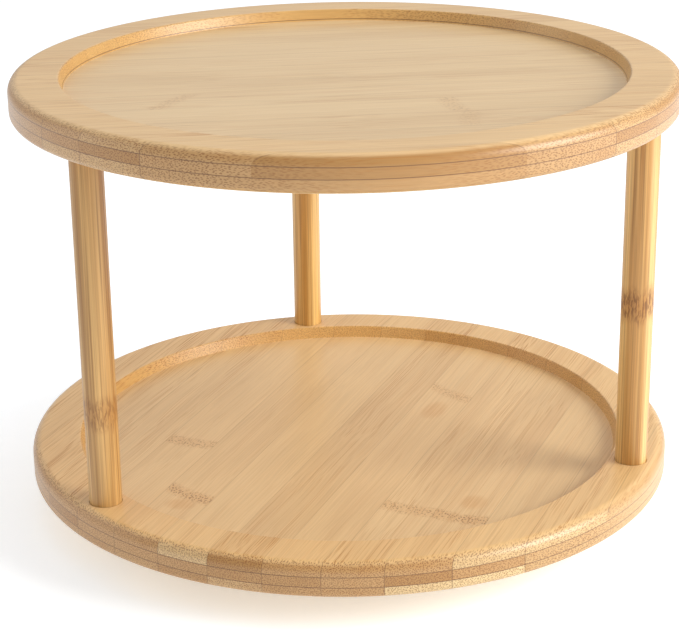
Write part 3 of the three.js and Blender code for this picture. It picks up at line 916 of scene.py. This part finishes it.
ball_steel = polished_steel("ball_steel")
ball_radius = radius_mm("bearing_ball_01")
ball = turned("bearing_balls", arc(0, 0, ball_radius, -90, 90, 14), 28, ball_steel)
balls = ringed(ball, BALL_COUNT, ball_circle, ball_height * MM)
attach(balls, "ball_ring")
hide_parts(*[f"bearing_ball_{i + 1:02d}" for i in range(BALL_COUNT)])

retainer_plastic = moulded_plastic("retainer_plastic")
retainer_outer = radius_mm("ball_retainer")
retainer_inner = 2 * race_radius - retainer_outer
retainer_bottom, retainer_top = height_span_mm("ball_retainer")
retainer_profile = [
    (retainer_inner, retainer_bottom + 0.1),
    (retainer_inner + 0.1, retainer_bottom),
    (retainer_outer - 0.1, retainer_bottom),
    (retainer_outer, retainer_bottom + 0.1),
    (retainer_outer, retainer_top - 0.1),
    (retainer_outer - 0.1, retainer_top),
    (retainer_inner + 0.1, retainer_top),
    (retainer_inner, retainer_top - 0.1),
    (retainer_inner, retainer_bottom + 0.1),
]
below = retainer_bottom - 1
above = retainer_top + 1
retainer = carved(
    turned("ball_retainer_ring", retainer_profile, 160, retainer_plastic),
    drill_ring(POCKET_RADIUS, below, above, BALL_COUNT, ball_circle, segments=24),
)
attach(retainer, "ball_ring")
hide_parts("ball_retainer")

# ----------------------------
# Upper bearing plate and its screws: the same steel pressing turned over, race downwards. Four
# pan-head screws fix it up into the lower tray.

TURNED_OVER = Matrix.Rotation(math.pi, 4, "X")

upper_plate = turned("upper_bearing_plate", plate_profile(), 160, bearing_steel)
upper_plate.data.transform(TURNED_OVER)
lifted(upper_plate, 0, 0, upper_plate_top * MM)
below = upper_plate_top - 3
above = upper_plate_top + 1
holes = drill_ring(PLATE_HOLE_RADIUS, below, above, SCREW_COUNT, tray_screw_circle)
upper_plate = carved(upper_plate, holes)
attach(upper_plate, "turntable")
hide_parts("bearing_upper_plate")

_, tray_screw_tip = height_span_mm("tray_screw_1")
tray_screw = pan_screw("tray_plate_screws", tray_screw_tip - upper_plate_top)
tray_screw.data.transform(TURNED_OVER)
tray_screws = ringed(tray_screw, SCREW_COUNT, tray_screw_circle, (upper_plate_top - SHEET) * MM)
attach(tray_screws, "turntable")
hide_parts(*[f"tray_screw_{i + 1}" for i in range(SCREW_COUNT)])

# ----------------------------
# Lower tray: a round board of three bamboo plies, each glued up from 20 mm strips. The dish is
# routed out of the top, the edge is rounded over, and three sockets take the posts.

TRAY_TOP_ROUNDING = 4.0
TRAY_BOTTOM_ROUNDING = 2.5
DISH_RADIUS = 106.0
DISH_DEPTH = 4.7
DISH_EDGE = 0.8
DISH_FOOT_RADIUS = 104.9
DISH_FOOT_ROUNDING = 0.35
LOWER_GLUE_MM = 4.4
UPPER_GLUE_MM = 8.3
TRAY_SEGMENTS = 320
POST_COUNT = 3
SOCKET_DEPTH = 2.5
SOCKET_GAP = 0.3
FOOT_GAP = 0.16  # the posts fit tightly where they show
POST_SCREW_SHANK = 2.0
POST_SCREW_HEAD = 4.0
POST_SCREW_HEAD_HEIGHT = 2.4
TRAY_PILOT_DEPTH = 6.3

tray_radius = radius_mm("lower_tray")
lower_bottom, lower_top = height_span_mm("lower_tray")
tray_thickness = lower_top - lower_bottom
post_circle = circle_of("post_1")
post_radius = radius_mm("post_1")


def tray_profile(bottom, top):
    """Half the tray's section: round-overs outside, and a dish with a softened rim and foot."""
    floor_height = top - DISH_DEPTH
    outer_low = tray_radius - TRAY_BOTTOM_ROUNDING
    outer_high = tray_radius - TRAY_TOP_ROUNDING
    dish_edge = DISH_RADIUS + DISH_EDGE
    foot = DISH_FOOT_RADIUS - DISH_FOOT_ROUNDING
    return [
        (0, bottom),
        (outer_low - 0.4, bottom),
        *arc(outer_low, bottom + TRAY_BOTTOM_ROUNDING, TRAY_BOTTOM_ROUNDING, -90, 0, 8),
        *arc(outer_high, top - TRAY_TOP_ROUNDING, TRAY_TOP_ROUNDING, 0, 90, 12),
        (outer_high - 0.3, top),
        (dish_edge + 0.3, top),
        *arc(dish_edge, top - DISH_EDGE, DISH_EDGE, 90, 170, 6),
        *arc(foot, floor_height + DISH_FOOT_ROUNDING, DISH_FOOT_ROUNDING, -10, -90, 6),
        (foot - 0.4, floor_height),
        (0, floor_height),
    ]


lower_bamboo = board_bamboo(
    "lower_tray_bamboo",
    grain_degrees=68.5,
    bottom=lower_bottom * MM,
    glue_heights_mm=(LOWER_GLUE_MM, UPPER_GLUE_MM),
    dish_floor_mm=tray_thickness - DISH_DEPTH,
    top_mm=tray_thickness,
    seed=3,
    tones=("6698546354545", "6642533444244", "6775542744545"),
    marks=(
        (-32.5, 2, 0.02, 0.8),
        (-76.2, 1, 0.33, 1.0),
        (49.8, -2, 0.50, 0.6),
        (-60.0, -3, 0.04, 0.8),
        (-60.5, -4, 0.0, 1.0),
    ),
    scars=((-84.4, 34.0, 4.5, 5.5), (31.1, -25.4, 9.0, 4.5), (-46.0, -67.0, 6.0, 5.0)),
    floor_colour=linear("e6c695"),
)
head_hole = POST_SCREW_HEAD + SOCKET_GAP
shank_hole = POST_SCREW_SHANK + SOCKET_GAP
countersink_profile = [
    (0, lower_bottom - 1),
    (head_hole, lower_bottom - 1),
    (head_hole, lower_bottom + SOCKET_GAP),
    (shank_hole, lower_bottom + POST_SCREW_HEAD_HEIGHT + SOCKET_GAP),
    (shank_hole, lower_top),
    (0, lower_top),
]
countersink = turned("countersink", countersink_profile, 48, None)
socket_floor = lower_top - SOCKET_DEPTH
socket_radius = post_radius + FOOT_GAP
pilot_end = lower_bottom + TRAY_PILOT_DEPTH
lower_tray = carved(
    turned("lower_tray_board", tray_profile(lower_bottom, lower_top), TRAY_SEGMENTS, lower_bamboo),
    drill_ring(socket_radius, socket_floor, lower_top + 1, POST_COUNT, post_circle, segments=64),
    ringed(countersink, POST_COUNT, post_circle),
    drill_ring(PILOT_RADIUS, lower_bottom - 1, pilot_end, SCREW_COUNT, tray_screw_circle),
)
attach(lower_tray, "turntable")
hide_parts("lower_tray")

# ----------------------------
# Posts: round bamboo rods with the skin's long dark fibres, softened at both ends. Each is
# drilled up its foot for the screw and down its top for the stud.

POST_END_ROUNDING = 0.6
POST_SCREW_HOLE_DEPTH = 24.3
STUD_RADIUS = 2.6
STUD_HOLE_DEPTH = 18.3
POST_LOOKS = (  # a pale and a dark colour, and the height and strength of the post's node
    ("deb877", "b98849", 91.0, 1.0),
    ("e2b973", "ba8843", 20.0, 0.0),
    ("cca163", "a0733c", 64.0, 0.7),
)


def rod_bamboo(name, middle, seed, pale, dark, node_height_mm, node_strength):
    """A bamboo rod: long streaks up its length, and a node where short dark brush strokes gather."""
    material, tree, shader = new_material(name, coat_weight=0.15, coat_roughness=0.3)
    shift = (seed * 31.0 - middle.x / MM, seed * 17.0 - middle.y / MM, 0.0)
    rod_place = place_in_mm(tree, shift)
    height = split(tree, rod_place)[2]

    broad = noise(tree, stretched(tree, rod_place, 0.22, 0.22, 0.004), detail=2.0)
    bands = noise(tree, stretched(tree, rod_place, 0.75, 0.75, 0.008), detail=2.0, roughness=0.6)
    lines = cells(tree, stretched(tree, rod_place, 1.1, 1.1, 0.010))
    fine = noise(tree, stretched(tree, rod_place, 2.2, 2.2, 0.02), detail=3.0, roughness=0.6)
    fibres = ramp(tree, lines, 0.12, 0.40, 1.0, 0.0)
    colour = overlaid(
        tree,
        linear(pale),
        (ramp(tree, broad, 0.34, 0.66), linear(dark)),
        (ramp(tree, bands, 0.5, 0.7, 0.0, 0.6), linear("8c5c24")),
        (times(tree, fibres, 0.40), linear("85561f")),
    )
    colour = shaded(tree, colour, fine, 0.25, 0.75, 1.16, 0.80)

    # The node: a stained patch, crowded with short wavy strokes.
    sway = times(tree, noise(tree, stretched(tree, rod_place, 0.25, 0.25, 0.0)), 10.0)
    above = minus(tree, minus(tree, height, node_height_mm - 5.0), sway)
    from_node = calc(tree, "ABSOLUTE", above)
    stain = ramp(tree, from_node, 1.0, 9.0, 0.6 * node_strength, 0.0)
    brush = noise(tree, stretched(tree, rod_place, 1.6, 1.6, 0.26), detail=2.0, roughness=0.6)
    near_node = ramp(tree, from_node, 2.0, 8.5, 0.75 * node_strength, 0.0)
    strokes = times(tree, ramp(tree, brush, 0.46, 0.55), near_node)
    colour = overlaid(tree, colour, (stain, linear("a8702c")), (strokes, linear("704214")))

    relief = plus(tree, times(tree, fibres, 0.5), fine)
    roughness = ramp(tree, fine, 0.2, 0.8, 0.36, 0.52)
    finish_surface(tree, shader, colour, roughness, relief, 0.3, 0.12)
    return material


def post_profile(bottom, top):
    corner = post_radius - POST_END_ROUNDING
    screw_hole = POST_SCREW_SHANK + SOCKET_GAP
    stud_hole = STUD_RADIUS + SOCKET_GAP
    return [
        (0, bottom + POST_SCREW_HOLE_DEPTH),
        (screw_hole, bottom + POST_SCREW_HOLE_DEPTH),
        (screw_hole, bottom),
        (corner - 0.2, bottom),
        *arc(corner, bottom + POST_END_ROUNDING, POST_END_ROUNDING, -90, 0, 6),
        *arc(corner, top - POST_END_ROUNDING, POST_END_ROUNDING, 0, 90, 6),
        (corner - 0.2, top),
        (stud_hole, top),
        (stud_hole, top - STUD_HOLE_DEPTH),
        (0, top - STUD_HOLE_DEPTH),
    ]


post_bottom, post_top = height_span_mm("post_1")
for number, look in enumerate(POST_LOOKS, start=1):
    middle = box_centre(f"post_{number}")
    bamboo = rod_bamboo(f"post_{number}_bamboo", middle, number, *look)
    post = turned(f"post_{number}_rod", post_profile(post_bottom, post_top), 64, bamboo)
    lifted(post, middle.x, middle.y, 0)
    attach(post, "turntable")
    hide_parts(f"post_{number}")

# ----------------------------
# Post screws: long zinc-plated countersunk screws. One goes up through the lower tray into the
# foot of each post, with its head sunk flush with the underside.

POST_THREAD_PITCH = 1.8
POST_THREAD_DEPTH = 0.5
POST_SCREW_POINT = 3.0

post_screw_bottom, post_screw_top = height_span_mm("lower_post_screw_1")
shank_start = post_screw_bottom + POST_SCREW_HEAD_HEIGHT + 0.5
shank_end = post_screw_top - POST_SCREW_POINT
post_screw_profile = [
    (0, post_screw_bottom),
    (POST_SCREW_HEAD - 0.15, post_screw_bottom),
    (POST_SCREW_HEAD, post_screw_bottom + 0.15),
    (POST_SCREW_HEAD, post_screw_bottom + 0.3),
    (POST_SCREW_SHANK, post_screw_bottom + POST_SCREW_HEAD_HEIGHT),
    *shank_rows(POST_SCREW_SHANK, shank_start, shank_end, POST_THREAD_PITCH),
    (0.3, post_screw_top - 0.2),
    (0, post_screw_top),
]
thread_start = post_screw_bottom + 10
thread_end = post_screw_top - POST_SCREW_POINT * 0.5
post_thread = (POST_THREAD_DEPTH, POST_THREAD_PITCH, thread_start, thread_end)
post_screw = carved(
    turned("post_foot_screws", post_screw_profile, 36, screw_steel, post_thread),
    cross_cutter(post_screw_bottom, 1.6, 1.0, 4.4, 1),
)
post_screws = ringed(post_screw, POST_COUNT, post_circle)
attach(post_screws, "turntable")
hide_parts(*[f"lower_post_screw_{i + 1}" for i in range(POST_COUNT)])

# ----------------------------
# Studs and inserts: a threaded stud stands in the top of each post and screws into a brass
# insert let into the underside of the upper tray.

STUD_PITCH = 1.0
STUD_THREAD_DEPTH = 0.4
STUD_CHAMFER = 0.6
INSERT_END = 0.4
INSERT_PITCH = 1.5
INSERT_THREAD_DEPTH = 0.45


def turned_brass(name):
    material, tree, shader = new_material(name, metallic=1.0)
    place = object_place(tree)
    tooling = noise(tree, stretched(tree, place, 300.0, 300.0, 5200.0), detail=1.0)
    tarnish = noise(tree, place, scale=160.0, detail=4.0)
    colour = blend_colour(tree, ramp(tree, tarnish, 0.35, 0.75), linear("d9b562"), linear("a5803c"))
    finish_surface(tree, shader, colour, ramp(tree, tooling, 0.2, 0.8, 0.22, 0.4), tooling, 0.2, 0.02)
    return material


stud_bottom, stud_top = height_span_mm("upper_post_stud_1")
stud_profile = [
    (0, stud_bottom),
    (STUD_RADIUS - STUD_CHAMFER, stud_bottom),
    *shank_rows(STUD_RADIUS, stud_bottom + STUD_CHAMFER, stud_top - STUD_CHAMFER, STUD_PITCH),
    (STUD_RADIUS - STUD_CHAMFER, stud_top),
    (0, stud_top),
]
stud_thread = (STUD_THREAD_DEPTH, STUD_PITCH, stud_bottom + STUD_CHAMFER, stud_top - STUD_CHAMFER)
stud = turned("post_top_studs", stud_profile, 32, screw_steel, stud_thread)
studs = ringed(stud, POST_COUNT, post_circle)
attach(studs, "turntable")
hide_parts(*[f"upper_post_stud_{i + 1}" for i in range(POST_COUNT)])

insert_brass = turned_brass("insert_brass")
insert_radius = radius_mm("tray_insert_1")
insert_bottom, insert_top = height_span_mm("tray_insert_1")
insert_bore = STUD_RADIUS + SOCKET_GAP
insert_profile = [
    (0, insert_top - INSERT_END),
    (insert_bore, insert_top - INSERT_END),
    (insert_bore, insert_bottom + 0.4),
    (insert_bore + 0.4, insert_bottom),
    (insert_radius - 0.1, insert_bottom),
    (insert_radius, insert_bottom + 0.1),
    *shank_rows(insert_radius, insert_bottom + 0.9, insert_top - 0.5, INSERT_PITCH),
    (insert_radius - 0.4, insert_top),
    (0, insert_top),
]
outside_thread = (INSERT_THREAD_DEPTH, INSERT_PITCH, insert_bottom + 0.95, insert_top - 0.45)
insert = turned("tray_inserts", insert_profile, 40, insert_brass, outside_thread)
inserts = ringed(insert, POST_COUNT, post_circle)
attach(inserts, "turntable")
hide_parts(*[f"tray_insert_{i + 1}" for i in range(POST_COUNT)])

# ----------------------------
# Upper tray: the same laminated bamboo board with its grain laid nearly crosswise. It is bored
# underneath for the three brass inserts.

INSERT_HOLE_DEPTH = 9.7
TURNED_BOARD_GLUE_MM = (5.2, 9.2)  # this board lies the other way up, thick ply down

upper_bottom, upper_top = height_span_mm("upper_tray")
upper_bamboo = board_bamboo(
    "upper_tray_bamboo",
    grain_degrees=7,
    bottom=upper_bottom * MM,
    glue_heights_mm=TURNED_BOARD_GLUE_MM,
    dish_floor_mm=tray_thickness - DISH_DEPTH,
    top_mm=tray_thickness,
    seed=8,
    tones=("4566544564545", "2523445645454", "2565545546554"),
    marks=((-66.0, -2, 0.7, 0.45), (32.5, -3, -0.1, 0.45), (35.0, -4, 0.2, 0.30)),
)
hole_radius = insert_radius + SOCKET_GAP
hole_end = upper_bottom + INSERT_HOLE_DEPTH
upper_tray = carved(
    turned("upper_tray_board", tray_profile(upper_bottom, upper_top), TRAY_SEGMENTS, upper_bamboo),
    drill_ring(hole_radius, upper_bottom - 1, hole_end, POST_COUNT, post_circle, segments=48),
)
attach(upper_tray, "turntable")
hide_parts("upper_tray")
